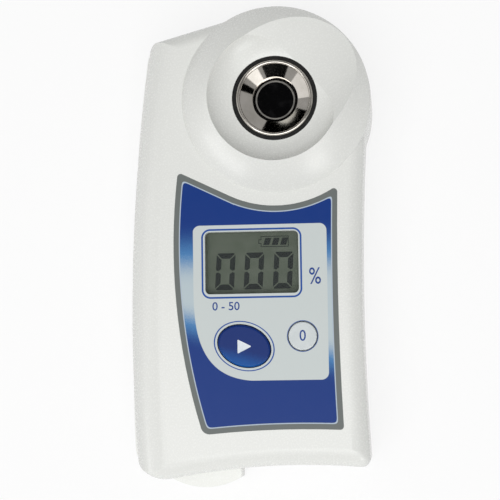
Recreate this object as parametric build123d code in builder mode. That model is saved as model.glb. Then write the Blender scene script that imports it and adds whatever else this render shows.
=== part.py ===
from build123d import *
import os
from math import cos, radians, sin, sqrt, tan

os.makedirs("parts", exist_ok=True)

# Pocket refractometer lying on its back, in millimetres.
# +Z leaves the front face, +Y points to the round head, the origin is under its middle.
half_width = 27.65
half_length = 54.2
face_z = 25.0
seam_z = 17.0
ridge_z = 31.0
wall = 2.0
floor_z = 2.6

# The round head
head_r = 21.45
head_x = half_width - head_r
head_y = half_length - head_r
rim_z = 24.7
ridge_r = 14.7
core_r = 9.45
core_z = 26.5
scoop_r = 9.5
trough_r = 110.0
trough_bend = 24.0
trough_half = 16.0
trough_start = 3.25
trough_angle = 43.0
head_ceiling_z = 23.45

# The grip's outline at the seam
shoulder_angle = 15.2
corner_x = -23.35
waist = (-27.05, 6.9)
widest_y = -20.4
low_x = -26.8
right_waist = (24.9, -14.0)
right_high = (26.1, 24.9)
right_low_x = 26.1
bottom_mid = (10.6, -48.78)
bottom_r = 150.0
shoulder_corner_r = 4.0
left_corner_r = 7.5
right_corner_r = 2.0
left_round = 8.0
edge_round = 3.8
back_round = 4.5
shoulder_bite = 0.3
neck_r = 3.0

# The printed panel, its window and the keys
panel_pocket = 0.5
panel_top_r = 24.0
panel_left_r = 138.6
panel_left_x = -17.04
panel_right = ((19.81, 9.7), (19.58, -17.0), (20.3, -41.1))
panel_low = (-10.8, -41.9)
window_size = (20.8, 13.8)
window_at = (0.45, -3.85)
start_at = (-1.45, -22.4)
start_axes = (6.0, 4.5)
start_turn = -20.0
zero_at = (11.55, -20.4)
zero_r = 3.15
key_gap = 0.2
key_flange = 0.8
start_proud = 0.3
zero_proud = 0.05
panel_sunk = 0.05

# Boards and display
board_z = 18.4
board_t = 1.2
board_box = (-16.4, -38.0, 17.2, 10.4)
board_screws_at = [(-14.6, 8.2), (15.2, 8.2), (-14.6, -36.0), (15.2, -36.0)]
glass_size = (24.4, 18.0)
glass_at = (0.45, -4.2)
glass_z = 20.9

# Housing screws
case_screws_at = [(13.0, -44.2), (20.6, 1.0), (-19.4, 8.0), (-17.3, 41.8)]
boss_r = 2.8
pilot_r = 0.85

# Cells and their bay in the rear housing
bay_x = -11.0
bay_width = 21.4
bay_low_y = -46.6
bay_high_y = 1.0
bay_roof_z = 12.7
bay_wall = 1.4
cell_r = 5.2
cell_length = 44.5
cell_z = 7.2
cell_pitch = 10.7
plate_t = 0.4
lead_rise = 3.5

# The sliding cover over the bay
cover_width = 22.4
cover_t = 0.85
tongue = 0.8
tongue_t = 0.7
cover_high_y = 1.6
slide_gap = 0.12
lip_x = -12.2
lip_width = 16.2
lip_r = 16.0
lip_z = 8.5

# The bare rating label on the back
label_at = (head_x - 1.5, head_y - 4.0)
label_size = (23.6, 15.6)
label_gap = 0.2

head_plane = Plane(origin=(head_x, head_y, 0), x_dir=(1, 0, 0), z_dir=(0, -1, 0))


def grip_plan(z, left=0.0, rest=0.0):
    """The grip's outline at a height, drawn in by left on that side and by rest elsewhere."""
    slope = tan(radians(shoulder_angle))
    reach = head_r - shoulder_bite - rest
    touch = (head_x - reach * sin(radians(shoulder_angle)), head_y + reach * cos(radians(shoulder_angle)))
    corner = (corner_x + left, touch[1] + slope * (corner_x + left - touch[0]))

    def bottom(x):
        return (x, bottom_mid[1] + rest - (x - bottom_mid[0]) ** 2 / (2 * bottom_r))

    high = (right_high[0] - rest, right_high[1])
    low_left = bottom(low_x + left)
    low_right = bottom(right_low_x - rest)
    with BuildSketch(Plane.XY.offset(z)) as plan:
        with BuildLine():
            lower = ThreePointArc(low_left, (-half_width + left, widest_y), (waist[0] + left, waist[1]))
            TangentArc(lower @ 1, corner, tangent=lower % 1)
            Line(corner, touch)
            Line(touch, high)
            ThreePointArc(high, (right_waist[0] - rest, right_waist[1]), low_right)
            ThreePointArc(low_right, bottom(bottom_mid[0]), low_left)
        make_face()
        shrink = max(left, rest) * 0.4
        fillet(plan.vertices().sort_by_distance(low_left)[0], left_corner_r - shrink)
        fillet(plan.vertices().sort_by_distance(low_right)[0], max(right_corner_r - rest * 0.2, 1.0))
        fillet(plan.vertices().sort_by_distance(corner)[0], max(shoulder_corner_r - shrink * 0.5, 1.5))
    return plan.sketch


def whole_plan(z, inset=0.0):
    """The outline of the grip and the head together, for the walls and the back."""
    with BuildSketch(Plane.XY.offset(z)) as plan:
        add(grip_plan(0, inset, inset))
        with Locations((head_x, head_y)):
            Circle(head_r - inset)
    return plan.sketch


def back_solid(grow=0.0):
    """The outer form of the rear housing, grown by an amount."""
    with BuildPart() as form:
        extrude(whole_plan(-grow, -grow), amount=seam_z + grow)
        neck = form.edges().filter_by(Axis.Z).sort_by_distance((*right_high, 0))[0]
        fillet(neck, neck_r)
        fillet(form.faces().sort_by(Axis.Z)[0].edges(), back_round)
    return form.part


def oval(grow):
    """The START key's outline, grown by an amount."""
    return (start_axes[0] + grow, start_axes[1] + grow)


def panel_face(z):
    """The printed panel's outline at a height, its top edge concentric with the head."""
    bend = radians(-25.9)
    join = (head_x + panel_top_r * sin(bend), head_y - panel_top_r * cos(bend))
    left_axis = panel_left_x + panel_left_r
    left_top_x = left_axis - sqrt(panel_left_r**2 - 17.5**2)
    left_top = (left_top_x, join[1] - tan(bend) * (join[0] - left_top_x))
    right_x = panel_right[0][0]
    right_top = (right_x, head_y - sqrt(panel_top_r**2 - (right_x - head_x) ** 2))
    with BuildSketch(Plane.XY.offset(z)) as plan:
        with BuildLine():
            Line(left_top, join)
            ThreePointArc(join, (head_x, head_y - panel_top_r), right_top)
            ThreePointArc(right_top, panel_right[1], panel_right[2])
            ThreePointArc(panel_right[2], (5.0, -40.9), panel_low)
            ThreePointArc(panel_low, (panel_left_x + 0.02, -3.0), left_top)
        make_face()
        fillet(plan.vertices().sort_by_distance(panel_low)[0], 2.0)
        for corner in (left_top, right_top, panel_right[2]):
            fillet(plan.vertices().sort_by_distance(corner)[0], 0.8)
    return plan.sketch


def save(piece, name):
    """Label a finished piece and write it."""
    piece.part.label = name
    export_step(piece.part, f"parts/{name}.step")


rear_form = back_solid()

# The space inside the rear housing
with BuildPart() as rear_hollow:
    extrude(whole_plan(floor_z, wall), amount=seam_z - floor_z)
    # The bay's walls and roof stay solid
    bay_mid_y = (bay_low_y + bay_high_y) / 2
    with Locations((bay_x, bay_mid_y, 0)):
        Box(
            bay_width + 2 * bay_wall,
            bay_high_y - bay_low_y + 2 * bay_wall,
            bay_roof_z + bay_wall,
            align=(Align.CENTER, Align.CENTER, Align.MIN),
            mode=Mode.SUBTRACT,
        )
    for at in case_screws_at:
        with Locations((*at, 0)):
            Cylinder(boss_r, seam_z, align=(Align.CENTER, Align.CENTER, Align.MIN), mode=Mode.SUBTRACT)

# Seal cord's path along the seam, in the middle of the wall
with BuildSketch(Plane.XY.offset(seam_z - 0.45)) as seal_face:
    add(grip_plan(0, 0.6, 0.6))
    with Locations((head_x, head_y)):
        Circle(head_r - 0.6)
    add(grip_plan(0, 1.4, 1.4), mode=Mode.SUBTRACT)
    with Locations((head_x, head_y)):
        Circle(head_r - 1.4, mode=Mode.SUBTRACT)

with BuildPart() as housing_seal:
    extrude(seal_face.sketch, amount=0.95)
save(housing_seal, "housing_seal")

with BuildPart() as rear_housing:
    add(rear_form)
    add(rear_hollow.part, mode=Mode.SUBTRACT)
    extrude(seal_face.sketch, amount=1.0, mode=Mode.SUBTRACT)
    # Bay for the cells, open at the back
    with Locations((bay_x, bay_mid_y, 0)):
        Box(
            bay_width,
            bay_high_y - bay_low_y,
            bay_roof_z,
            align=(Align.CENTER, Align.CENTER, Align.MIN),
            mode=Mode.SUBTRACT,
        )
    # Recess for the cover's plate, then the grooves for its tongues, open at the bottom end
    recess = [(cover_width, 0.0, cover_t), (cover_width + 2 * tongue, cover_t, tongue_t)]
    for width, low, thick in recess:
        with BuildSketch(Plane.XY.offset(low - slide_gap if low else -1.0)):
            with Locations((bay_x, cover_high_y + slide_gap)):
                Rectangle(width + 2 * slide_gap, 2 * half_length, align=(Align.CENTER, Align.MAX))
        extrude(amount=thick + (2 * slide_gap if low else 1.0), mode=Mode.SUBTRACT)
    # Screw holes with sunk heads
    for at in case_screws_at:
        with Locations((*at, 0)):
            Cylinder(1.2, seam_z, align=(Align.CENTER, Align.CENTER, Align.MIN), mode=Mode.SUBTRACT)
            Cylinder(2.3, 3.0, align=(Align.CENTER, Align.CENTER, Align.MIN), mode=Mode.SUBTRACT)
    # Slots for the leads in the bay's end wall
    for side in (-1, 1):
        with Locations((bay_x + side * cell_pitch / 2, bay_high_y + bay_wall, cell_z + lead_rise)):
            Cylinder(0.5, 8.0, rotation=(90, 0, 0), mode=Mode.SUBTRACT)
    # Shallow place for the rating label
    with BuildSketch(Plane.XY):
        with Locations(label_at):
            RectangleRounded(label_size[0] + 2 * label_gap, label_size[1] + 2 * label_gap, 1.5)
    extrude(amount=0.25, mode=Mode.SUBTRACT)
save(rear_housing, "rear_housing")

with BuildPart() as rating_label:
    with BuildSketch(Plane.XY.offset(0.05)):
        with Locations(label_at):
            RectangleRounded(*label_size, 1.3)
    extrude(amount=0.2)
save(rating_label, "rating_label")

# Front housing, with the coned head and the scoop round the stage
v_dir = (-sin(radians(trough_angle)), cos(radians(trough_angle)), 0)
u_dir = (cos(radians(trough_angle)), sin(radians(trough_angle)), 0)
trough_origin = (head_x + trough_start * u_dir[0], head_y + trough_start * u_dir[1], 0)
trough_plane = Plane(origin=trough_origin, x_dir=v_dir, z_dir=u_dir)
scoop_end = (ridge_r, ridge_z - 0.05)
scoop_run = (scoop_end[0] - core_r, scoop_end[1] - core_z)
scoop_chord = sqrt(scoop_run[0] ** 2 + scoop_run[1] ** 2)
scoop_sag = scoop_r - sqrt(scoop_r**2 - scoop_chord**2 / 4)
scoop_mid = (
    (core_r + scoop_end[0]) / 2 + scoop_sag * scoop_run[1] / scoop_chord,
    (core_z + scoop_end[1]) / 2 - scoop_sag * scoop_run[0] / scoop_chord,
)


def trough_rise(v):
    """Height of the trough's side over its floor, at a distance from its middle."""
    return trough_bend - sqrt(trough_bend**2 - v**2)


with BuildSketch(trough_plane) as trough_section:
    with BuildLine():
        side_mid = (trough_half / 2, core_z + trough_rise(trough_half / 2))
        side_top = (trough_half, core_z + trough_rise(trough_half))
        ThreePointArc((0, core_z), side_mid, side_top)
        Polyline(side_top, (trough_half + 12, 44), (0, 44), (0, core_z))
    make_face()
    mirror(about=Plane.YZ)

with BuildSketch(head_plane) as scoop_section:
    with BuildLine():
        Line((0, core_z), (core_r, core_z))
        ThreePointArc((core_r, core_z), scoop_mid, scoop_end)
        Polyline(scoop_end, (scoop_end[0] + 1.0, scoop_end[1] + 1.9), (scoop_end[0] + 1.0, 44), (0, 44), (0, core_z))
    make_face()

# Cutter for the broad rounding of the left flank, and the line that it follows
with BuildLine(Plane.XY.offset(seam_z)) as flank:
    flank_low = (-half_width + 2.4, -62.0)
    low_arc = ThreePointArc(flank_low, (-half_width, widest_y), waist)
    TangentArc(low_arc @ 1, (corner_x + 2.6, 60.0), tangent=low_arc % 1)
flank_line = flank.line
with BuildSketch(Plane(origin=flank_line @ 0, x_dir=(1, 0, 0), z_dir=(0, 1, 0))) as flank_cut:
    with BuildLine():
        Line((0, 0), (-6, 0))
        Polyline((-6, 0), (-6, -12), (left_round, -12), (left_round, -left_round))
        RadiusArc((left_round, -left_round), (0, 0), left_round)
    make_face()

stage_hole_r = 8.6
screw_ring_r = 11.3
stage_screws_at = [
    (head_x + screw_ring_r * cos(radians(angle)), head_y + screw_ring_r * sin(radians(angle)))
    for angle in (62, 118, 242, 298)
]
seal_hole_r = 9.55
with BuildPart() as front_housing:
    extrude(whole_plan(seam_z), amount=face_z - seam_z)
    neck = front_housing.edges().filter_by(Axis.Z).sort_by_distance((*right_high, seam_z))[0]
    fillet(neck, neck_r)
    fillet(front_housing.faces().sort_by(Axis.Z)[-1].edges(), edge_round)
    # The left flank is rounded over more broadly, along the whole side
    sweep(sections=flank_cut.sketch, path=flank_line, mode=Mode.SUBTRACT)
    with BuildSketch(head_plane) as head_section:
        with BuildLine():
            Polyline((0, ridge_z + 0.3), (0, seam_z), (head_r, seam_z), (head_r - 0.12, rim_z))
            ThreePointArc((head_r - 0.12, rim_z), (18.25, 28.2), (ridge_r, ridge_z))
            Polyline((ridge_r, ridge_z), (ridge_r - 0.3, ridge_z + 0.3), (0, ridge_z + 0.3))
        make_face()
        fillet(head_section.vertices().sort_by_distance((head_r - 0.12, rim_z))[0], 1.1)
    revolve(axis=Axis((head_x, head_y, 0), (0, 0, 1)))
    # Scoop round the stage, then the trough that runs out over the rim
    revolve(scoop_section.sketch, axis=Axis((head_x, head_y, 0), (0, 0, 1)), mode=Mode.SUBTRACT)
    extrude(trough_section.sketch, amount=-trough_start, mode=Mode.SUBTRACT)
    trough_axis = Axis((trough_origin[0], trough_origin[1], core_z - trough_r), v_dir)
    revolve(trough_section.sketch, axis=trough_axis, revolution_arc=20, mode=Mode.SUBTRACT)
    # Inside of the grip and of the head
    extrude(grip_plan(seam_z, wall, wall), amount=3.0, mode=Mode.SUBTRACT)
    extrude(grip_plan(seam_z + 3.0, wall + 3.5, wall + 0.5), amount=2.8, mode=Mode.SUBTRACT)
    with BuildSketch(head_plane):
        with BuildLine():
            Polyline((0, seam_z), (head_r - wall, seam_z), (head_r - wall, 22.4), (13.0, head_ceiling_z))
            Polyline((13.0, head_ceiling_z), (0, head_ceiling_z), (0, seam_z))
        make_face()
    revolve(axis=Axis((head_x, head_y, 0), (0, 0, 1)), mode=Mode.SUBTRACT)
    # Bosses for the housing screws and the board
    for at in case_screws_at:
        with Locations((*at, seam_z)):
            Cylinder(boss_r, face_z - 1.2 - seam_z, align=(Align.CENTER, Align.CENTER, Align.MIN))
    for at in board_screws_at:
        with Locations((*at, board_z + board_t)):
            Cylinder(2.2, face_z - 1.2 - board_z - board_t, align=(Align.CENTER, Align.CENTER, Align.MIN))
    for at in case_screws_at:
        with Locations((*at, seam_z)):
            Cylinder(pilot_r, 5.6, align=(Align.CENTER, Align.CENTER, Align.MIN), mode=Mode.SUBTRACT)
    for at in board_screws_at:
        with Locations((*at, board_z)):
            Cylinder(pilot_r, 5.0, align=(Align.CENTER, Align.CENTER, Align.MIN), mode=Mode.SUBTRACT)
    for at in stage_screws_at:
        with Locations((*at, head_ceiling_z - 1)):
            Cylinder(0.75, 2.25, align=(Align.CENTER, Align.CENTER, Align.MIN), mode=Mode.SUBTRACT)
    # Hole for the stage and its seal
    with Locations((head_x, head_y, 20)):
        Cylinder(stage_hole_r, 14, align=(Align.CENTER, Align.CENTER, Align.MIN), mode=Mode.SUBTRACT)
    with Locations((head_x, head_y, core_z - 1.4)):
        Cylinder(seal_hole_r, 4, align=(Align.CENTER, Align.CENTER, Align.MIN), mode=Mode.SUBTRACT)
    # Pocket for the panel, with the window's and the keys' holes
    extrude(panel_face(face_z - panel_pocket), amount=2, mode=Mode.SUBTRACT)
    with BuildSketch(Plane.XY.offset(face_z - 4)) as face_holes:
        with Locations(window_at):
            RectangleRounded(window_size[0] + 0.1, window_size[1] + 0.1, 1.1)
        with Locations(Location((*start_at, 0), (0, 0, start_turn))):
            Ellipse(*oval(key_gap))
        with Locations(zero_at):
            Circle(zero_r + key_gap)
    extrude(amount=5, mode=Mode.SUBTRACT)
    # Room for the window's flange, and the upper half of the seal's groove
    with BuildSketch(Plane.XY.offset(face_z - 2.4)):
        with Locations(window_at):
            RectangleRounded(window_size[0] + 1.9, window_size[1] + 1.9, 1.6)
    extrude(amount=0.8, mode=Mode.SUBTRACT)
    extrude(seal_face.sketch, amount=0.97, mode=Mode.SUBTRACT)
save(front_housing, "front_housing")

# Printed panel in its pocket
with BuildPart() as front_panel:
    extrude(panel_face(face_z - panel_pocket), amount=panel_pocket - panel_sunk)
    with BuildSketch(Plane.XY.offset(face_z - 1)):
        with Locations(window_at):
            RectangleRounded(window_size[0] + 0.1, window_size[1] + 0.1, 1.1)
        with Locations(Location((*start_at, 0), (0, 0, start_turn))):
            Ellipse(*oval(key_gap))
        with Locations(zero_at):
            Circle(zero_r + key_gap)
    extrude(amount=2, mode=Mode.SUBTRACT)
save(front_panel, "front_panel")

# Clear window with a flange behind the face
with BuildPart() as display_window:
    with BuildSketch(Plane.XY.offset(face_z - 2.2)):
        with Locations(window_at):
            RectangleRounded(window_size[0] + 1.8, window_size[1] + 1.8, 1.5)
    extrude(amount=0.58)
    with BuildSketch(Plane.XY.offset(face_z - 2.2)):
        with Locations(window_at):
            RectangleRounded(*window_size, 1.0)
    extrude(amount=2.1)
save(display_window, "display_window")

# Keys: a crowned cap, a flange behind the face and a stem over the switch dome
stem_low_z = 20.62
flange_low_z = 21.95
flange_t = 0.8
with BuildPart() as start_key:
    with BuildSketch(Plane.XY.offset(flange_low_z)):
        with Locations(Location((*start_at, 0), (0, 0, start_turn))):
            Ellipse(*oval(key_flange))
    extrude(amount=flange_t)
    with BuildSketch(Plane.XY.offset(flange_low_z)):
        with Locations(Location((*start_at, 0), (0, 0, start_turn))):
            Ellipse(*start_axes)
    extrude(amount=face_z + start_proud - flange_low_z)
    fillet(start_key.edges().group_by(Axis.Z)[-1], 0.45)
    with BuildSketch(Plane.XY.offset(stem_low_z)):
        with Locations(start_at):
            Circle(1.5)
    extrude(amount=flange_low_z - stem_low_z)
save(start_key, "start_key")

with BuildPart() as zero_key:
    with BuildSketch(Plane.XY.offset(flange_low_z)):
        with Locations(zero_at):
            Circle(zero_r + key_flange)
    extrude(amount=flange_t)
    with BuildSketch(Plane.XY.offset(flange_low_z)):
        with Locations(zero_at):
            Circle(zero_r)
    extrude(amount=face_z + zero_proud - flange_low_z)
    fillet(zero_key.edges().group_by(Axis.Z)[-1], 0.25)
    with BuildSketch(Plane.XY.offset(stem_low_z)):
        with Locations(zero_at):
            Circle(1.3)
    extrude(amount=flange_low_z - stem_low_z)
save(zero_key, "zero_key")

# Spring domes on the board, one under each key
board_top_z = board_z + board_t
dome_h = 1.0
for name, at, foot_r in (("start_dome", start_at, 3.0), ("zero_dome", zero_at, 2.6)):
    with BuildPart() as dome:
        with Locations((*at, board_top_z)):
            Cone(foot_r, 1.5, dome_h, align=(Align.CENTER, Align.CENTER, Align.MIN))
            Cone(foot_r - 0.3, 1.2, dome_h - 0.25, align=(Align.CENTER, Align.CENTER, Align.MIN), mode=Mode.SUBTRACT)
    save(dome, name)

# Display: two-plate glass in a holder, over a reflector and two contact strips
with BuildPart() as lcd_glass:
    with BuildSketch(Plane.XY.offset(glass_z)):
        with Locations(glass_at):
            Rectangle(*glass_size)
    extrude(amount=0.9)
    with BuildSketch(Plane.XY.offset(glass_z + 0.9)):
        with Locations((glass_at[0], glass_at[1] + 0.9)):
            Rectangle(glass_size[0], glass_size[1] - 1.8)
    extrude(amount=0.9)
save(lcd_glass, "lcd_glass")

with BuildPart() as lcd_reflector:
    with BuildSketch(Plane.XY.offset(glass_z - 0.2)):
        with Locations(glass_at):
            Rectangle(glass_size[0] - 1.0, glass_size[1] - 4.0)
    extrude(amount=0.18)
save(lcd_reflector, "lcd_reflector")

strip_y = glass_size[1] / 2 - 0.9
with BuildPart() as lcd_contact_strips:
    with Locations((glass_at[0], glass_at[1] - strip_y, board_top_z), (glass_at[0], glass_at[1] + strip_y, board_top_z)):
        Box(glass_size[0] - 1.4, 1.4, glass_z - board_top_z, align=(Align.CENTER, Align.CENTER, Align.MIN))
save(lcd_contact_strips, "lcd_contact_strips")

with BuildPart() as lcd_holder:
    with BuildSketch(Plane.XY.offset(board_top_z)):
        with Locations(glass_at):
            RectangleRounded(glass_size[0] + 2.0, glass_size[1] + 2.0, 0.6)
            Rectangle(glass_size[0] + 0.1, glass_size[1] + 0.1, mode=Mode.SUBTRACT)
    extrude(amount=3.0)
save(lcd_holder, "lcd_holder")

# Main board with its parts on the side away from the display
low_x_b, low_y_b, high_x_b, high_y_b = board_box
with BuildPart() as main_board:
    with BuildSketch(Plane.XY.offset(board_z)):
        with Locations(((low_x_b + high_x_b) / 2, (low_y_b + high_y_b) / 2)):
            RectangleRounded(high_x_b - low_x_b, high_y_b - low_y_b, 1.5)
        with Locations(*board_screws_at):
            Circle(1.1, mode=Mode.SUBTRACT)
    extrude(amount=board_t)
save(main_board, "main_board")

with BuildPart() as board_screws:
    for at in board_screws_at:
        with Locations((*at, board_z - 0.9)):
            Cylinder(1.7, 0.9, align=(Align.CENTER, Align.CENTER, Align.MIN))
            Cylinder(pilot_r, 5.4, align=(Align.CENTER, Align.CENTER, Align.MIN))
        with Locations((*at, board_z - 0.9)):
            Box(2.2, 0.4, 0.45, align=(Align.CENTER, Align.CENTER, Align.MIN), mode=Mode.SUBTRACT)
            Box(0.4, 2.2, 0.45, align=(Align.CENTER, Align.CENTER, Align.MIN), mode=Mode.SUBTRACT)
save(board_screws, "board_screws")

chips = [("microcontroller", (8.0, -10.0), (9.0, 9.0, 1.4)), ("memory_chip", (8.0, -22.0), (5.0, 4.0, 1.3))]
for name, at, size in chips:
    with BuildPart() as chip:
        with Locations((*at, board_z)):
            Box(*size, align=(Align.CENTER, Align.CENTER, Align.MAX))
        fillet(chip.edges().filter_by(Axis.Z), 0.3)
    save(chip, name)

with BuildPart() as crystal:
    with Locations((4.0, 0.0, board_z)):
        Box(8.0, 3.2, 2.6, align=(Align.CENTER, Align.CENTER, Align.MAX))
    fillet(crystal.edges().filter_by(Axis.Z), 1.4)
save(crystal, "crystal")

with BuildPart() as small_components:
    with Locations(Plane.XY.offset(board_z)):
        with Locations((-10.0, -20.0)):
            with GridLocations(3.4, 6.0, 5, 4):
                Box(1.6, 0.8, 0.8, align=(Align.CENTER, Align.CENTER, Align.MAX))
save(small_components, "small_components")

# Stage: turned steel dish, flanged behind the housing's wall
prism_r = 4.1
flange_r = 12.6
stage_low_z = 21.85
seat_z = 22.85
bed_r = 4.45
lip_end = (8.65, core_z - 0.15)
prism_base_z = 22.75
prism_low_z = 18.05
optics_screw_y = 8.2
with BuildPart() as sample_stage:
    with BuildSketch(head_plane):
        with BuildLine():
            Polyline((bed_r, seat_z), (bed_r, core_z - 2.6), (5.1, core_z - 2.6), (5.15, core_z - 1.65), (7.75, core_z))
            ThreePointArc((7.75, core_z), (8.25, core_z + 0.34), lip_end)
            Polyline(lip_end, (lip_end[0], core_z - 1.2), (8.5, core_z - 1.4), (8.5, head_ceiling_z))
            Polyline((8.5, head_ceiling_z), (flange_r, head_ceiling_z), (flange_r, stage_low_z), (5.6, stage_low_z))
            Polyline((5.6, stage_low_z), (5.6, seat_z), (bed_r, seat_z))
        make_face()
    revolve(axis=Axis((head_x, head_y, 0), (0, 0, 1)))
    with Locations(*stage_screws_at):
        Cylinder(0.9, 40, align=(Align.CENTER, Align.CENTER, Align.MIN), mode=Mode.SUBTRACT)
    # Blind holes for the optics screws
    with Locations((head_x, head_y - optics_screw_y, stage_low_z), (head_x, head_y + optics_screw_y, stage_low_z)):
        Cylinder(0.7, 1.1, align=(Align.CENTER, Align.CENTER, Align.MIN), mode=Mode.SUBTRACT)
save(sample_stage, "sample_stage")

with BuildPart() as stage_seal:
    with BuildSketch(Plane.XY.offset(core_z - 1.4)):
        with Locations((head_x, head_y)):
            Circle(seal_hole_r)
            Circle(lip_end[0], mode=Mode.SUBTRACT)
    extrude(amount=1.25)
save(stage_seal, "stage_seal")

with BuildPart() as stage_screws:
    for at in stage_screws_at:
        with Locations((*at, stage_low_z - 0.8)):
            Cylinder(1.2, 0.8, align=(Align.CENTER, Align.CENTER, Align.MIN))
            Cylinder(0.75, 3.6, align=(Align.CENTER, Align.CENTER, Align.MIN))
save(stage_screws, "stage_screws")

with BuildPart() as prism:
    with Locations((head_x, head_y, prism_base_z)):
        Cylinder(prism_r, 1.05, align=(Align.CENTER, Align.CENTER, Align.MIN))
    with BuildSketch(head_plane):
        Polygon((-4.4, prism_base_z), (4.4, prism_base_z), (1.7, prism_low_z), (-1.7, prism_low_z), align=None)
    extrude(amount=3.0, both=True)
save(prism, "prism")

with BuildPart() as prism_seal:
    with BuildSketch(Plane.XY.offset(seat_z)):
        with Locations((head_x, head_y)):
            Circle(bed_r)
            Circle(prism_r, mode=Mode.SUBTRACT)
    extrude(amount=0.95)
save(prism_seal, "prism_seal")

# Optics block: a V of black plastic under the stage, with a bore down each leg
leg_angle = 30.0
leg_half = 4.0
leg_reach = 16.0
bore_r = 2.6
lamp_at = 12.6
lens_at = 7.4
apex = (0.0, 22.3)
leg_dir = (cos(radians(leg_angle)), -sin(radians(leg_angle)))


def leg_plane(side, distance):
    """A plane square to one leg's bore, at a distance from the apex, its Z pointing outwards."""
    place = (head_x + side * leg_dir[0] * distance, head_y, apex[1] + leg_dir[1] * distance)
    return Plane(origin=place, x_dir=(0, 1, 0), z_dir=(side * leg_dir[0], 0, leg_dir[1]))


tip = (leg_reach * leg_dir[0], apex[1] + leg_reach * leg_dir[1])
upper_tip = (tip[0] - leg_half * leg_dir[1], tip[1] + leg_half * leg_dir[0])
lower_tip = (tip[0] + leg_half * leg_dir[1], tip[1] - leg_half * leg_dir[0])
crotch_z = lower_tip[1] + lower_tip[0] * tan(radians(leg_angle))
shelf_x = upper_tip[0] - (stage_low_z - upper_tip[1]) / tan(radians(leg_angle))
with BuildPart() as optics_block:
    with BuildSketch(head_plane):
        with BuildLine():
            Polyline((0, stage_low_z), (shelf_x, stage_low_z), upper_tip, lower_tip, (0, crotch_z), (0, stage_low_z))
        make_face()
        mirror(about=Plane.YZ)
    extrude(amount=5.5, both=True)
    with Locations((head_x, head_y, stage_low_z)):
        Box(5.0, 21.0, 2.0, align=(Align.CENTER, Align.CENTER, Align.MAX))
    with BuildSketch(head_plane):
        Polygon((-4.7, stage_low_z), (4.7, stage_low_z), (2.1, prism_low_z - 0.3), (-2.1, prism_low_z - 0.3), align=None)
    extrude(amount=3.2, both=True, mode=Mode.SUBTRACT)
    for side in (-1, 1):
        with BuildSketch(leg_plane(side, 3.0)):
            Circle(bore_r)
        extrude(amount=leg_reach, mode=Mode.SUBTRACT)
    with Locations((head_x, head_y - optics_screw_y, stage_low_z - 3.4), (head_x, head_y + optics_screw_y, stage_low_z - 3.4)):
        Cylinder(0.9, 5, align=(Align.CENTER, Align.CENTER, Align.MIN), mode=Mode.SUBTRACT)
save(optics_block, "optics_block")

with BuildPart() as optics_screws:
    with Locations((head_x, head_y - optics_screw_y, stage_low_z - 2.9), (head_x, head_y + optics_screw_y, stage_low_z - 2.9)):
        Cylinder(1.4, 0.9, align=(Align.CENTER, Align.CENTER, Align.MIN))
        Cylinder(0.65, 3.9, align=(Align.CENTER, Align.CENTER, Align.MIN))
save(optics_screws, "optics_screws")

with BuildPart() as light_source:
    with BuildSketch(leg_plane(-1, lamp_at)):
        Circle(2.5)
    extrude(amount=4.4)
    with BuildSketch(leg_plane(-1, lamp_at)):
        Circle(1.8)
    extrude(amount=-1.8)
    fillet(light_source.faces().sort_by(Axis((0, 0, 0), (leg_dir[0], 0, -leg_dir[1])))[-1].edges(), 1.2)
save(light_source, "light_source")

for name, side, near, thick in (("condenser_lens", -1, lens_at, 1.6), ("imaging_lens", 1, lens_at, 2.0)):
    with BuildPart() as lens:
        with BuildSketch(leg_plane(side, near)):
            Circle(2.58)
        extrude(amount=thick)
        fillet(lens.edges().filter_by(GeomType.CIRCLE), 0.4)
    save(lens, name)

with BuildPart() as sensor_board:
    with BuildSketch(leg_plane(1, leg_reach)):
        Rectangle(10.0, 11.0)
    extrude(amount=1.0)
save(sensor_board, "sensor_board")

with BuildPart() as line_sensor:
    with BuildSketch(leg_plane(1, leg_reach)):
        Rectangle(3.4, 2.6)
    extrude(amount=-1.4)
save(line_sensor, "line_sensor")

with BuildPart() as temperature_sensor:
    with Locations((head_x + 5.0, head_y + 6.8, stage_low_z)):
        Box(2.0, 1.6, 1.1, align=(Align.CENTER, Align.CENTER, Align.MAX))
save(temperature_sensor, "temperature_sensor")

# Flat cable from the sensor board to its connector under the main board
with BuildPart() as cable_connector:
    with Locations((13.5, -2.6, board_z)):
        Box(6.4, 3.0, 1.8, align=(Align.CENTER, Align.CENTER, Align.MAX))
save(cable_connector, "cable_connector")

cable_low_z = 10.05
with BuildPart() as flat_cable:
    with BuildSketch(Plane.YZ.offset(10.8)):
        with BuildLine() as cable_line:
            cable_points = [(head_y - 5.15, cable_low_z), (20.0, cable_low_z), (8.0, 15.7), (-0.95, board_z - 0.7)]
            FilletPolyline(*cable_points, radius=6.0)
            offset(amount=0.12, side=Side.BOTH)
        make_face()
    extrude(amount=6.8)
save(flat_cable, "flat_cable")

# Cells and contacts
cell_low_y = bay_low_y + plate_t
cell_high_y = bay_high_y - plate_t
for name, side in (("battery_left", -1), ("battery_right", 1)):
    nub_y = cell_low_y if side < 0 else cell_high_y
    cell_plane = Plane(origin=(bay_x + side * cell_pitch / 2, nub_y, cell_z), x_dir=(1, 0, 0), z_dir=(0, -side, 0))
    with BuildPart() as cell:
        with BuildSketch(cell_plane):
            Circle(1.9)
        extrude(amount=1.2)
        with BuildSketch(cell_plane.offset(0.8)):
            Circle(cell_r)
        extrude(amount=cell_length - 0.8)
        fillet(cell.edges().filter_by(GeomType.CIRCLE).sort_by(SortBy.RADIUS)[-2:], 0.35)
    save(cell, name)

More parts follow.
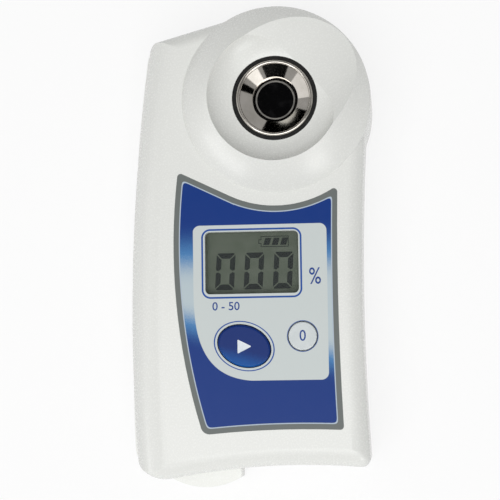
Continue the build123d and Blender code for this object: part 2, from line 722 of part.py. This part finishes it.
spring_gap = bay_high_y - bay_low_y - 2 * plate_t - cell_length
with BuildPart() as contact_springs:
    for side in (-1, 1):
        spring_y = cell_high_y - 0.3 if side < 0 else cell_low_y + 0.3
        start = (bay_x + side * cell_pitch / 2, spring_y, cell_z)
        with BuildLine():
            coil = Helix(pitch=0.85, height=spring_gap - 0.6, radius=3.0, center=start, direction=(0, side, 0))
        with BuildSketch(Plane(origin=coil @ 0, z_dir=coil % 0)):
            Circle(0.25)
        sweep(path=coil)
save(contact_springs, "contact_springs")

with BuildPart() as bridge_contact:
    with Locations((bay_x, bay_low_y, cell_z)):
        Box(cell_pitch + 7.0, plate_t, 7.0, align=(Align.CENTER, Align.MIN, Align.CENTER))
save(bridge_contact, "bridge_contact")

with BuildPart() as end_contacts:
    for side in (-1, 1):
        with Locations((bay_x + side * cell_pitch / 2, bay_high_y, cell_z)):
            Box(7.0, plate_t, 8.0, align=(Align.CENTER, Align.MAX, Align.CENTER))
save(end_contacts, "end_contacts")

with BuildPart() as battery_leads:
    for side in (-1, 1):
        x = bay_x + side * cell_pitch / 2
        lead_points = [(x, bay_high_y, cell_z + lead_rise), (x, bay_high_y + 3.4, cell_z + lead_rise), (x, bay_high_y + 3.4, board_z)]
        with BuildLine():
            route = FilletPolyline(*lead_points, radius=1.4)
        with BuildSketch(Plane(origin=route @ 0, z_dir=route % 0)):
            Circle(0.45)
        sweep(path=route)
save(battery_leads, "battery_leads")

# Cover of the bay: a plate with tongues that slide in the grooves, and the thumb lip
cover_low_y = -half_length
with BuildPart() as battery_cover:
    with BuildSketch(Plane.XY):
        with Locations((bay_x, cover_high_y)):
            Rectangle(cover_width, cover_high_y - cover_low_y, align=(Align.CENTER, Align.MAX))
    extrude(amount=cover_t + tongue_t)
    with BuildSketch(Plane.XY.offset(cover_t)):
        with Locations((bay_x, cover_high_y)):
            Rectangle(cover_width + 2 * tongue, cover_high_y - bay_low_y, align=(Align.CENTER, Align.MAX))
    extrude(amount=tongue_t)
    add(rear_form, mode=Mode.INTERSECT)
    # The lip stands outside the bottom edge, cut from a lens shape
    with BuildPart(mode=Mode.PRIVATE) as lip:
        with BuildSketch(Plane.XY.offset(0.3)):
            with Locations((lip_x, -half_length + lip_r)):
                Circle(lip_r)
            with Locations((lip_x, -46.0)):
                Rectangle(lip_width, 40.0, align=(Align.CENTER, Align.MAX), mode=Mode.INTERSECT)
        extrude(amount=lip_z - 0.3)
        add(back_solid(0.25), mode=Mode.SUBTRACT)
    add(lip.part)
    with BuildSketch(Plane.XY.offset(0.3)):
        with Locations((lip_x, -45.0)):
            Rectangle(lip_width, 4.2, align=(Align.CENTER, Align.MAX))
    extrude(amount=cover_t + tongue_t - 0.3)
    # Finger ridges near the lip
    for step in range(5):
        with Locations((bay_x, -43.0 + step * 1.6, 0)):
            Box(12.0, 0.7, 0.3, align=(Align.CENTER, Align.CENTER, Align.MIN), mode=Mode.SUBTRACT)
save(battery_cover, "battery_cover")

# Housing screws from the back
with BuildPart() as housing_screws:
    for at in case_screws_at:
        with Locations((*at, 1.2)):
            Cylinder(2.1, 1.7, align=(Align.CENTER, Align.CENTER, Align.MIN))
            Cylinder(0.85, 20.5, align=(Align.CENTER, Align.CENTER, Align.MIN))
        with Locations((*at, 1.2)):
            Box(2.8, 0.5, 0.8, align=(Align.CENTER, Align.CENTER, Align.MIN), mode=Mode.SUBTRACT)
            Box(0.5, 2.8, 0.8, align=(Align.CENTER, Align.CENTER, Align.MIN), mode=Mode.SUBTRACT)
save(housing_screws, "housing_screws")
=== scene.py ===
from math import cos, pi, radians, sin, tan

import bpy
from mathutils import Matrix, Vector


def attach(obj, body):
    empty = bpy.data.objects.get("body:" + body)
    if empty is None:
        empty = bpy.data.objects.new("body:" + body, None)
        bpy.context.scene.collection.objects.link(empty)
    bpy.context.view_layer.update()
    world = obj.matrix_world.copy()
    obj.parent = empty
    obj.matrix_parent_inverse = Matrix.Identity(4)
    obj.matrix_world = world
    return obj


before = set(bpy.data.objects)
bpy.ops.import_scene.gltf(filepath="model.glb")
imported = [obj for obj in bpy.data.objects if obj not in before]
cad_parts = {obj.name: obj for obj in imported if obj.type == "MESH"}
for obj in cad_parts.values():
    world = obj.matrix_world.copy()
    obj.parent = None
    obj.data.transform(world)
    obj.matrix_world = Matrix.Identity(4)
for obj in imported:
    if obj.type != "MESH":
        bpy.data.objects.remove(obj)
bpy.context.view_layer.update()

# The view: the instrument lies on its back, seen from straight above,
# a little from the right and from below, at about arm's length.
mm = 0.001
camera_distance = 0.350
camera_side = radians(5.3)
camera_down = radians(5.3)
camera_roll = radians(0.78)
camera_target = Vector((-0.33, -0.62, 20.0)) * mm
pixels_per_mm = 4.43
photo_size = 500
sensor = 36.0

towards = Vector((
    sin(camera_side) * cos(camera_down),
    -sin(camera_down),
    cos(camera_side) * cos(camera_down),
))
towards.normalize()
level = Vector((0, 1, 0)).cross(towards).normalized()
upright = towards.cross(level)
right = level * cos(camera_roll) - upright * sin(camera_roll)
up = upright * cos(camera_roll) + level * sin(camera_roll)
bpy.ops.object.camera_add()
camera = bpy.context.object
camera.name = "camera"
turn = Matrix((right, up, towards)).transposed()
camera.matrix_world = Matrix.Translation(camera_target + towards * camera_distance) @ turn.to_4x4()
camera.data.sensor_width = sensor
camera.data.lens = sensor * pixels_per_mm * camera_distance / mm / photo_size
camera.data.clip_start = 0.01
bpy.context.scene.camera = camera


# White shells: the front and rear halves and the sliding cover are moulded in one
# white ABS. Its gloss is even, with the faint and fine grain of the mould.
class Value:
    """A socket on which plain expressions add Math nodes."""

    def __init__(self, finish, socket):
        self.finish = finish
        self.socket = socket

    def math(self, operation, *others):
        return self.finish.node("ShaderNodeMath", {"operation": operation}, [self, *others])

    def __add__(self, other):
        return self.math("ADD", other)

    def __sub__(self, other):
        return self.math("SUBTRACT", other)

    def __mul__(self, other):
        return self.math("MULTIPLY", other)

    def __truediv__(self, other):
        return self.math("DIVIDE", other)

    def __pow__(self, other):
        return self.math("POWER", other)

    def __neg__(self):
        return self * -1.0

    def __rsub__(self, other):
        return -self + other

    def __abs__(self):
        return self.math("ABSOLUTE")

    __radd__ = __add__
    __rmul__ = __mul__

    def above(self, least):
        return self.math("MAXIMUM", least)

    def step(self, start, end):
        """0 at start and before, 1 at end and past it, turning smoothly between them."""
        settings = {"interpolation_type": "SMOOTHSTEP", "clamp": True}
        return self.finish.node("ShaderNodeMapRange", settings, [self, start, end, 0.0, 1.0])


class Finish:
    """One material, with one method for each node that its expressions don't make."""

    def __init__(self, name, color, roughness, **constants):
        self.material = bpy.data.materials.new(name)
        self.material.use_nodes = True
        self.tree = self.material.node_tree
        self.shader = self.tree.nodes["Principled BSDF"]
        self.shader.inputs["Base Color"].default_value = (*color, 1.0)
        self.shader.inputs["Roughness"].default_value = roughness
        self.material.diffuse_color = (*color, 1.0)
        for socket, value in constants.items():
            self.shader.inputs[socket.replace("_", " ")].default_value = value
        self.place = self.node("ShaderNodeTexCoord", {}, {}, "Object")
        split = self.node("ShaderNodeSeparateXYZ", {}, [self.place]).socket.node
        self.x, self.y, self.z = [Value(self, split.outputs[axis]) * 1000.0 for axis in "XYZ"]

    def node(self, kind, settings, inputs, output=0):
        made = self.tree.nodes.new(kind)
        for key, value in settings.items():
            setattr(made, key, value)
        for key, value in inputs.items() if isinstance(inputs, dict) else enumerate(inputs):
            if isinstance(value, Value):
                self.tree.links.new(value.socket, made.inputs[key])
            else:
                made.inputs[key].default_value = value
        return Value(self, made.outputs[output])

    def noise(self, scale, detail=4.0):
        return self.node("ShaderNodeTexNoise", {}, {"Vector": self.place, "Scale": scale, "Detail": detail})

    def mix(self, mask, first, second):
        """A colour that goes from first to second as the mask goes from 0 to 1."""
        first, second = [c if isinstance(c, Value) else (*c, 1.0) for c in (first, second)]
        return self.node("ShaderNodeMix", {"data_type": "RGBA"}, {0: mask, 6: first, 7: second}, 2)

    def feed(self, socket, value):
        self.tree.links.new(value.socket, self.shader.inputs[socket])

    def bump(self, height, strength, distance):
        inputs = {"Strength": strength, "Distance": distance, "Height": height}
        self.feed("Normal", self.node("ShaderNodeBump", {}, inputs))

    def cover(self, *names):
        """Put the finish on CAD nodes."""
        for name in names:
            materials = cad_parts[name].data.materials
            materials.clear()
            materials.append(self.material)


def shown(r, g, b):
    """A colour as a screen shows it, from 0 to 255, as the shader's linear one."""
    return tuple(c / 255 / 12.92 if c < 10.3 else ((c / 255 + 0.055) / 1.055) ** 2.4 for c in (r, g, b))


shell_white = Finish("white_shell", shown(236, 237, 232), 0.28)
grain = shell_white.noise(2600.0, 2.0)
shell_white.feed("Base Color", shell_white.mix(grain, shown(233, 234, 230), shown(236, 237, 233)))
shell_white.feed("Roughness", grain * 0.06 + 0.24)
shell_white.bump(grain, 0.005, 0.00003)
shell_white.cover("front_housing", "rear_housing", "battery_cover")

# Seals: the cord in the seam and the ring round the stage are dark rubber, cut or
# moulded to size and pressed into their grooves. The prism's bed is a grey sealant.
rubber = Finish("dark_rubber", shown(20, 19, 19), 0.5, Specular_IOR_Level=0.25)
dust = rubber.noise(900.0)
rubber.feed("Base Color", rubber.mix(dust.step(0.4, 0.75), shown(14, 14, 14), shown(30, 29, 28)))
rubber.feed("Roughness", dust * 0.3 + 0.35)
rubber.bump(dust, 0.2, 0.00005)
rubber.cover("housing_seal", "stage_seal")
sealant = Finish("prism_bed", shown(158, 154, 148), 0.35)
smears = sealant.noise(700.0).step(0.3, 0.7)
sealant.feed("Base Color", sealant.mix(smears, shown(96, 94, 90), shown(132, 129, 124)))
sealant.cover("prism_seal")

# Front panel: a printed plastic sheet glued in its pocket. Grey border and a thin
# light line, then blue that fades to white half way down, and a pale field in front.
# Each gap is a distance in mm from a printed line, less than 0 inside it.
dish_x, dish_y = 6.2, 32.75
panel_top_r = 24.0
panel_tilt = radians(25.9)
left_x, left_y, left_r = 121.56, -0.73, 138.6
right_from_y, right_line = -17.0, (19.58, -0.01162, 0.000758)
bottom_from_x, bottom_line = 5.0, (40.9, -0.02451, 0.002456)
panel_corner = 1.6
line_soft = 0.05

printed = Finish("printed_overlay", shown(30, 68, 144), 0.3, Specular_IOR_Level=0.18)
x, y = printed.x, printed.y
join_x = dish_x - panel_top_r * sin(panel_tilt)
join_y = dish_y - panel_top_r * cos(panel_tilt)
round_gap = ((x - dish_x) ** 2.0 + (y - dish_y) ** 2.0) ** 0.5 - panel_top_r
straight_gap = (join_y - tan(panel_tilt) * (x - join_x) - y) * cos(panel_tilt)
beside = (x - tan(panel_tilt) * (join_y - y) - join_x).step(-line_soft, line_soft)
top_gap = straight_gap + (round_gap - straight_gap) * beside
left_gap = left_r - ((x - left_x) ** 2.0 + (y - left_y) ** 2.0) ** 0.5
down = y - right_from_y
right_gap = right_line[0] + right_line[1] * down + right_line[2] * (down * down) - x
across = x - bottom_from_x
bottom_gap = y + bottom_line[0] + bottom_line[1] * across + bottom_line[2] * (across * across)
sides_gap = left_gap.math("SMOOTH_MIN", right_gap, panel_corner)
ends_gap = top_gap.math("SMOOTH_MIN", bottom_gap, panel_corner)
edge_gap = sides_gap.math("SMOOTH_MIN", ends_gap, panel_corner)


def box_gap(x, y, low, high, corner):
    """Distance outside a box with rounded corners, less than 0 inside it."""
    out = [
        (abs(value - (a + b) / 2) - ((b - a) / 2 - corner)).above(0.0)
        for value, a, b in ((x, low[0], high[0]), (y, low[1], high[1]))
    ]
    return (out[0] * out[0] + out[1] * out[1]) ** 0.5 - corner


def inside(gap):
    """1 inside a printed line and 0 outside it, with a soft edge."""
    return gap.step(line_soft, -line_soft)


fade_top_y, fade_full_y = 7.0, -10.5
fade_end_y, fade_foot_y = -14.5, -27.5
fade_lean = 0.26
speckle = printed.noise(5200.0, 1.0)
fade_y = y + (speckle - 0.5) * 2.2
upper_fade = fade_y.step(fade_top_y, fade_full_y)
lower_fade = (fade_y + fade_lean * x).step(fade_foot_y, fade_end_y)
faded = upper_fade * lower_fade
blue = printed.mix(faded.step(0.0, 0.6), shown(12, 54, 130), shown(76, 132, 186))
blue = printed.mix(faded.step(0.45, 1.0), blue, shown(188, 202, 208))

field_x, field_y = 4.8, -8.0
field_wide, field_long = 17.45, 22.2
field_low, field_high, field_corner = (-12.7, -30.05), (17.2, 4.6), 1.6
curve_soft = 0.008
field_curve = ((field_x - x).above(0.0) / field_wide) ** 3.0 + ((field_y - y).above(0.0) / field_long) ** 3.0
field_round = (1.0 - field_curve).step(-curve_soft, curve_soft)
field = inside(box_gap(x, y, field_low, field_high, field_corner)) * field_round
colour = printed.mix(field, blue, shown(206, 213, 212))

display_low, display_high, display_corner = (-10.59, -11.6), (11.44, 3.59), 1.8
display_line = inside(abs(box_gap(x, y, display_low, display_high, display_corner)) - 0.2)
start_x, start_y = -1.45, -22.4
start_long, start_short, start_mean = 6.78, 5.28, 6.0
start_turn = radians(-20.0)
from_x, from_y = x - start_x, y - start_y
along = from_x * cos(start_turn) + from_y * sin(start_turn)
aside = from_y * cos(start_turn) - from_x * sin(start_turn)
start_gap = ((along / start_long) ** 2.0 + (aside / start_short) ** 2.0) ** 0.5 * start_mean - start_mean
start_line = inside(abs(start_gap) - 0.13)
zero_x, zero_y, zero_r = 11.55, -20.4, 3.42
zero_gap = ((x - zero_x) ** 2.0 + (y - zero_y) ** 2.0) ** 0.5 - zero_r
zero_line = inside(abs(zero_gap) - 0.07)
lines = display_line.math("MAXIMUM", start_line).math("MAXIMUM", zero_line)
colour = printed.mix(lines, colour, shown(28, 78, 158))

border_in, light_line_out = 1.42, 1.2
border = inside(edge_gap - border_in)
light_line = border * (1.0 - inside(edge_gap - light_line_out))
colour = printed.mix(border, colour, shown(112, 117, 115))
colour = printed.mix(light_line, colour, shown(186, 200, 214))
printed.feed("Base Color", colour)
printed.feed("Roughness", printed.noise(400.0) * 0.1 + 0.28)
printed.bump(printed.noise(3000.0, 1.0), 0.04, 0.00003)
printed.cover("front_panel")

# Printed signs on the pale field: the range in plain numbers under the display and
# the unit sign beside it. They are a thin layer of blue ink on the panel.
panel_top = 24.95
letter_swell = 0.02
ink = Finish("blue_ink", shown(34, 74, 148), 0.34, Specular_IOR_Level=0.25)
ink_spots = ink.noise(1500.0).step(0.3, 0.7)
ink.feed("Base Color", ink.mix(ink_spots, shown(22, 60, 134), shown(32, 76, 152)))


def settle(piece, name, finish, body):
    """Name a made piece, give it its finish, and tie it to its body."""
    piece.name = name
    piece.data.materials.clear()
    piece.data.materials.append(finish.material)
    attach(piece, body)


def start_alone(operator, **settings):
    """Add a primitive with nothing else selected."""
    bpy.ops.object.select_all(action="DESELECT")
    operator(**settings)
    return bpy.context.object


def lettered(text, at, size, height, narrow=1.0):
    """Raised figures, their middle at a point and at a height, in mm."""
    made = start_alone(bpy.ops.object.text_add)
    made.data.body = text
    made.data.align_x = "CENTER"
    made.data.align_y = "CENTER"
    made.data.size = size * mm
    made.data.offset = letter_swell * mm
    made.data.extrude = letter_swell * mm
    bpy.ops.object.convert(target="MESH")
    made = bpy.context.object
    made.scale = (narrow, 1.0, 1.0)
    made.location = (at[0] * mm, at[1] * mm, height * mm)
    bpy.ops.object.transform_apply(location=True, rotation=True, scale=True)
    return made


unit_sign = lettered("%", (14.5, -7.3), 5.2, panel_top, narrow=0.78)
settle(unit_sign, "unit_sign", ink, "instrument")
range_sign = lettered("0 - 50", (-5.4, -13.6), 2.6, panel_top)
settle(range_sign, "range_sign", ink, "instrument")

# Keys: one-piece caps in the panel's openings. The start key is a crowned blue oval
# with a white triangle on it, and the small round one is pale with a plain nought.
blue_key = Finish("blue_key", shown(18, 56, 122), 0.3, Specular_IOR_Level=0.18)
key_x, key_y = blue_key.x - start_x, blue_key.y - start_y
key_speckle = (blue_key.noise(2400.0, 1.0) - 0.5) * 0.9
# Painted highlight: the start key's blue is painted lighter towards its lower side, standing in for light on its
# crowned top. The speckle only breaks up the edge of this painted highlight.
painted_highlight_low_side = (key_speckle - key_y - key_x * 0.25).step(0.6, 4.6)
blue_key.feed("Base Color", blue_key.mix(painted_highlight_low_side, shown(12, 46, 116), shown(8, 84, 160)))
blue_key.feed("Roughness", blue_key.noise(600.0) * 0.08 + 0.28)
blue_key.cover("start_key")
pale_key = Finish("pale_key", shown(208, 214, 216), 0.3)
cap_mottle = pale_key.noise(350.0).step(0.3, 0.7)
pale_key.feed("Base Color", pale_key.mix(cap_mottle, shown(204, 211, 212), shown(212, 218, 219)))
pale_key.cover("zero_key")


def slab(name, outline, low, high):
    """A flat piece with a straight edge all round, from its outline, in mm."""
    count = len(outline)
    piece = start_alone(bpy.ops.mesh.primitive_circle_add, vertices=count, radius=mm, fill_type="NGON")
    bpy.ops.object.mode_set(mode="EDIT")
    bpy.ops.mesh.select_all(action="SELECT")
    bpy.ops.mesh.extrude_region_move(TRANSFORM_OT_translate={"value": (0, 0, mm)})
    bpy.ops.object.mode_set(mode="OBJECT")
    for vertex in piece.data.vertices:
        order = round(Vector((0, 1)).angle_signed(Vector(vertex.co[:2])) / (-2 * pi / count)) % count
        height = high if vertex.co.z > mm / 2 else low
        vertex.co = (outline[order][0] * mm, outline[order][1] * mm, height * mm)
    bpy.ops.object.mode_set(mode="EDIT")
    bpy.ops.mesh.select_all(action="SELECT")
    bpy.ops.mesh.normals_make_consistent(inside=False)
    bpy.ops.object.mode_set(mode="OBJECT")
    piece.name = name
    return piece


def joined(pieces):
    """Several made pieces as one."""
    bpy.ops.object.select_all(action="DESELECT")
    for piece in pieces:
        piece.select_set(True)
    bpy.context.view_layer.objects.active = pieces[0]
    bpy.ops.object.join()
    return bpy.context.object


start_top = 25.3
zero_top = 25.05
ink_t = 0.03
white_ink = Finish("white_ink", shown(222, 230, 236), 0.3)
white_spots = white_ink.noise(900.0).step(0.3, 0.7)
white_ink.feed("Base Color", white_ink.mix(white_spots, shown(214, 224, 232), shown(228, 234, 240)))
triangle = [(-2.75, -21.0), (0.0, -22.38), (0.0, -22.62), (-2.75, -24.0), (-2.9, -23.9), (-2.9, -21.1)]
start_sign = slab("start_sign", triangle, start_top, start_top + ink_t)
settle(start_sign, "start_sign", white_ink, "start_key")
zero_sign = lettered("0", (zero_x, zero_y), 3.4, zero_top, narrow=0.9)
settle(zero_sign, "zero_sign", ink, "zero_key")

# Display: a twisted-nematic cell behind a clear window. Its figures are dark slanted
# bars in the liquid, three noughts and a small sign of the cells' charge.
cell_glass = Finish("display_glass", shown(92, 100, 88), 0.45, Specular_IOR_Level=0.2)
mottle = cell_glass.noise(300.0)
cell_glass.feed("Base Color", cell_glass.mix(mottle.step(0.3, 0.7), shown(86, 95, 82), shown(96, 104, 92)))
cell_glass.cover("lcd_glass")
dark_bar = Finish("dark_bar", shown(20, 26, 30), 0.5, Specular_IOR_Level=0.2)
bar_mottle = dark_bar.noise(800.0).step(0.3, 0.7)
dark_bar.feed("Base Color", dark_bar.mix(bar_mottle, shown(14, 20, 24), shown(22, 29, 33)))

# One nought is six bars. Their outlines are in shares of its width and height, from
# its upper left corner, and the lower three are the upper three upside down.
bar_low = 22.7
bar_high = 22.73
bar_u = 0.29
bar_v = 0.15
bar_gap = 0.02
nought_bars = [
    [(0.10, 0.0), (0.90, 0.0), (0.96, 0.02), (1 - bar_u, bar_v), (bar_u, bar_v), (0.04, 0.02)],
    [(0.0, 0.05), (bar_u - bar_gap, bar_v + 0.03), (bar_u - bar_gap, 0.43), (0.12, 0.485), (0.0, 0.455)],
    [(1.0, 0.05), (1.0, 0.455), (0.88, 0.485), (1 - bar_u + bar_gap, 0.43), (1 - bar_u + bar_gap, bar_v + 0.03)],
]
nought_bars += [[(u, 1 - v) for u, v in bar] for bar in nought_bars]
digit_at = [(-7.56, -1.49), (-1.12, -1.46), (5.42, -1.41)]
digit_width = 4.26
digit_height = 8.25
digit_slant = 0.51
bars = []
for left, top in digit_at:
    for bar in nought_bars:
        outline = [(left + u * digit_width - v * digit_slant, top - v * digit_height) for u, v in bar]
        bars.append(slab("bar", outline, bar_low, bar_high))

charge_low = (2.35, -0.28)
charge_high = (8.62, 2.18)
nub_x = charge_low[0] - 0.5
nub_low, nub_high = 0.45, 1.45
frame_t = 0.16
charge_frame = [
    (charge_low[0], charge_low[1], charge_high[0], charge_low[1] + frame_t),
    (charge_low[0], charge_high[1] - frame_t, charge_high[0], charge_high[1]),
    (charge_high[0] - frame_t, charge_low[1], charge_high[0], charge_high[1]),
    (charge_low[0], charge_low[1], charge_low[0] + frame_t, nub_low),
    (charge_low[0], nub_high, charge_low[0] + frame_t, charge_high[1]),
    (nub_x, nub_low, nub_x + frame_t, nub_high),
    (nub_x, nub_low, charge_low[0] + frame_t, nub_low + frame_t),
    (nub_x, nub_high - frame_t, charge_low[0] + frame_t, nub_high),
]
for x0, y0, x1, y1 in charge_frame:
    bars.append(slab("bar", [(x0, y0), (x1, y0), (x1, y1), (x0, y1)], bar_low, bar_high))
charge_inset, charge_step, charge_width, charge_slant = 0.55, 1.9, 1.35, 0.5
charge_foot, charge_top = 0.15, 1.75
for mark in range(3):
    x0 = charge_low[0] + charge_inset + mark * charge_step
    x1 = x0 + charge_width
    outline = [(x0, charge_foot), (x1, charge_foot), (x1 + charge_slant, charge_top), (x0 + charge_slant, charge_top)]
    bars.append(slab("bar", outline, bar_low, bar_high))
settle(joined(bars), "display_figures", dark_bar, "instrument")
window_clear = Finish("clear_window", shown(120, 128, 120), 0.06, Alpha=0.06, Specular_IOR_Level=0.3)
window_clear.feed("Roughness", window_clear.noise(250.0) * 0.05 + 0.04)
window_clear.cover("display_window")

# Stage: a stainless dish, turned on a lathe and polished, so it keeps faint rings
# round its middle. The prism's black glass top closes the hole at its foot.
stage_steel = Finish("polished_steel", shown(205, 200, 192), 0.07, Metallic=1.0)
from_middle = ((stage_steel.x - dish_x) ** 2.0 + (stage_steel.y - dish_y) ** 2.0) ** 0.5
turning = stage_steel.node("ShaderNodeTexNoise", {"noise_dimensions": "1D"}, {"W": from_middle, "Scale": 14.0})
haze = stage_steel.noise(260.0).step(0.3, 0.7)
stage_steel.feed("Base Color", stage_steel.mix(haze, shown(196, 191, 183), shown(212, 207, 200)))
stage_steel.feed("Roughness", turning * 0.06 + 0.05)
stage_steel.bump(turning, 0.03, 0.00003)
stage_steel.cover("sample_stage")
prism_black = Finish("prism_glass", shown(14, 14, 15), 0.05, IOR=1.6)
film = prism_black.noise(420.0).step(0.5, 0.8)
prism_black.feed("Base Color", prism_black.mix(film, shown(10, 10, 11), shown(24, 24, 25)))
prism_black.cover("prism")


# Inner works: boards, chips, holder, optics, cells and contacts behind the shells,
# each in the plain finish of its stock, with a slight mottle and a fine grain.
def plain_finish(name, dark, light, roughness, grain, bump, names, **constants):
    """A stock finish that varies between two colours, for some nodes."""
    finish = Finish(name, light, roughness, **constants)
    texture = finish.noise(grain)
    finish.feed("Base Color", finish.mix(texture.step(0.3, 0.7), dark, light))
    finish.feed("Roughness", texture * 0.15 + (roughness - 0.07))
    finish.bump(texture, bump, 0.00004)
    finish.cover(*names)


plain_finish("dome_steel", shown(176, 172, 164), shown(204, 200, 192), 0.28, 500.0, 0.1,
             ["start_dome", "zero_dome"], Metallic=1.0)
plain_finish("reflector", shown(196, 200, 196), shown(214, 217, 213), 0.4, 700.0, 0.1,
             ["lcd_reflector"])
plain_finish("inner_plastic", shown(52, 53, 55), shown(66, 67, 69), 0.45, 600.0, 0.2,
             ["lcd_contact_strips", "lcd_holder"])
plain_finish("screw_steel", shown(150, 148, 144), shown(182, 180, 175), 0.32, 450.0, 0.15,
             ["board_screws", "stage_screws", "optics_screws", "housing_screws"], Metallic=1.0)
plain_finish("chip_black", shown(24, 24, 25), shown(36, 36, 38), 0.5, 800.0, 0.3,
             ["microcontroller", "memory_chip", "temperature_sensor"])
plain_finish("crystal_can", shown(166, 166, 164), shown(190, 190, 188), 0.3, 300.0, 0.1,
             ["crystal"], Metallic=1.0)
plain_finish("component_tan", shown(146, 122, 92), shown(172, 148, 114), 0.45, 900.0, 0.2,
             ["small_components"])
plain_finish("black_plastic", shown(22, 22, 23), shown(32, 32, 34), 0.5, 500.0, 0.25,
             ["optics_block", "line_sensor"])
plain_finish("connector_white", shown(206, 200, 184), shown(220, 214, 200), 0.4, 500.0, 0.1,
             ["cable_connector"])
plain_finish("clear_lens", shown(200, 206, 208), shown(214, 219, 221), 0.08, 200.0, 0.02,
             ["condenser_lens", "imaging_lens"], Alpha=0.35)
plain_finish("lamp_amber", shown(206, 160, 78), shown(226, 184, 104), 0.15, 250.0, 0.05,
             ["light_source"])
plain_finish("contact_plate", shown(168, 162, 148), shown(196, 190, 174), 0.3, 380.0, 0.1,
             ["contact_springs", "bridge_contact", "end_contacts"], Metallic=1.0)
plain_finish("lead_red", shown(140, 28, 24), shown(164, 38, 32), 0.4, 600.0, 0.1,
             ["battery_leads"])
plain_finish("label_silver", shown(190, 191, 192), shown(204, 205, 206), 0.32, 1200.0, 0.1,
             ["rating_label"], Metallic=0.3)

# Boards: glass-fibre sheets under green solder mask, cut to shape, with the copper
# tracks below the mask showing as a slightly lighter net.
board = Finish("board_green", shown(24, 84, 52), 0.35)
net = {"Vector": board.place, "Scale": 420.0}
tracks = board.node("ShaderNodeTexVoronoi", {"feature": "DISTANCE_TO_EDGE"}, net).step(0.02, 0.09)
board.feed("Base Color", board.mix(tracks, shown(46, 116, 74), shown(22, 78, 48)))
board.feed("Roughness", tracks * 0.1 + 0.3)
board.bump(tracks, 0.2, 0.00003)
board.cover("main_board", "sensor_board")

# Flat cable: bare copper lines laminated between two amber polyimide films,
# folded to run from the sensor's board to its connector.
line_pitch = 0.8
cable = Finish("cable_amber", shown(176, 108, 38), 0.3)
line = (cable.x * (2 * pi / line_pitch)).math("SINE").step(0.1, 0.5)
cable.feed("Base Color", cable.mix(line, shown(150, 84, 28), shown(196, 132, 62)))
cable.bump(line, 0.2, 0.00003)
cable.cover("flat_cable")

# Cells: two steel cans in a plain printed wrap, grey along most of their length and
# with a pale band at one end.
band_y = -13.2
wrap = Finish("cell_wrap", shown(70, 74, 80), 0.3)
band = wrap.y.step(band_y, band_y + 0.3)
wrap.feed("Base Color", wrap.mix(band, shown(58, 62, 70), shown(168, 150, 104)))
wrap.feed("Roughness", wrap.noise(300.0) * 0.15 + 0.22)
wrap.cover("battery_left", "battery_right")

# Floor and light: a plain white sheet, one large soft box a little in front of the
# object, and an even fill. Cards that only gloss sees stand round the steel dish.
floor = start_alone(bpy.ops.mesh.primitive_plane_add, size=3.0, location=(0, 0, -0.0002))
floor.name = "floor"
glow_share = 0.8
paper = Finish("floor_paper", (0.95, 0.95, 0.95), 0.9)
glow = paper.node("ShaderNodeEmission", {}, {"Color": (1, 1, 1, 1), "Strength": 1.0})
path = paper.node("ShaderNodeLightPath", {}, {}).socket.node.outputs
seen = [Value(paper, path[ray]) for ray in ("Is Camera Ray", "Is Glossy Ray", "Is Transmission Ray")]
direct = (seen[0] + seen[1] + seen[2]).math("MINIMUM", 1.0)
blend = paper.node("ShaderNodeMixShader", {}, {0: direct * glow_share, 2: glow})
paper.tree.links.new(paper.shader.outputs[0], blend.socket.node.inputs[1])
output = paper.tree.nodes["Material Output"]
paper.tree.links.new(blend.socket, output.inputs["Surface"])
floor.data.materials.append(paper.material)

bpy.ops.object.light_add(type="AREA", location=(-0.07, -0.32, 0.80))
soft_box = bpy.context.object
soft_box.data.size = 0.7
soft_box.data.energy = 4.55
soft_box.rotation_euler = (-soft_box.location).to_track_quat("-Z", "Y").to_euler()

dish = Vector((dish_x, dish_y, 25.5)) * mm


def card(name, bearing, rise, width, height, brightness, distance=0.3):
    """A flat card that faces the dish, seen only in gloss, at a bearing and a rise in degrees."""
    a, e = radians(bearing), radians(rise)
    way = Vector((cos(a) * cos(e), sin(a) * cos(e), sin(e)))
    made = start_alone(bpy.ops.mesh.primitive_plane_add, size=1.0)
    made.name = name
    made.scale = (width, height, 1.0)
    made.rotation_euler = way.to_track_quat("Z", "Y").to_euler()
    made.location = dish + way * distance
    made.visible_camera = False
    made.visible_diffuse = False
    made.visible_shadow = False
    made.visible_transmission = False
    finish = Finish(name, (0, 0, 0), 1.0, Specular_IOR_Level=0.0, Emission_Strength=brightness)
    finish.shader.inputs["Emission Color"].default_value = (1, 1, 1, 1)
    made.data.materials.append(finish.material)


card("dark_card_top", 135.0, 82.5, 0.10, 0.10, 0.0)
card("dark_card_south", 262.0, 38.0, 0.24, 0.18, 0.0)
card("dark_card_north", 112.0, 24.0, 0.40, 0.15, 0.0)
card("dark_card_east", 350.0, 38.0, 0.07, 0.20, 0.0)
card("bright_card_southeast", 315.0, 40.0, 0.12, 0.20, 1.6)
card("bright_card_west", 190.0, 26.0, 0.22, 0.20, 1.0)
card("bright_card_low_left", 217.0, 11.0, 0.26, 0.08, 3.5)
card("bright_card_low_right", 304.0, 14.0, 0.10, 0.10, 3.5)

world = bpy.data.worlds.new("tent")
world.use_nodes = True
bpy.context.scene.world = world
sky = world.node_tree.nodes["Background"]
sky.inputs["Color"].default_value = (1, 1, 1, 1)
sky.inputs["Strength"].default_value = 0.42

bpy.context.scene.view_settings.view_transform = "Standard"
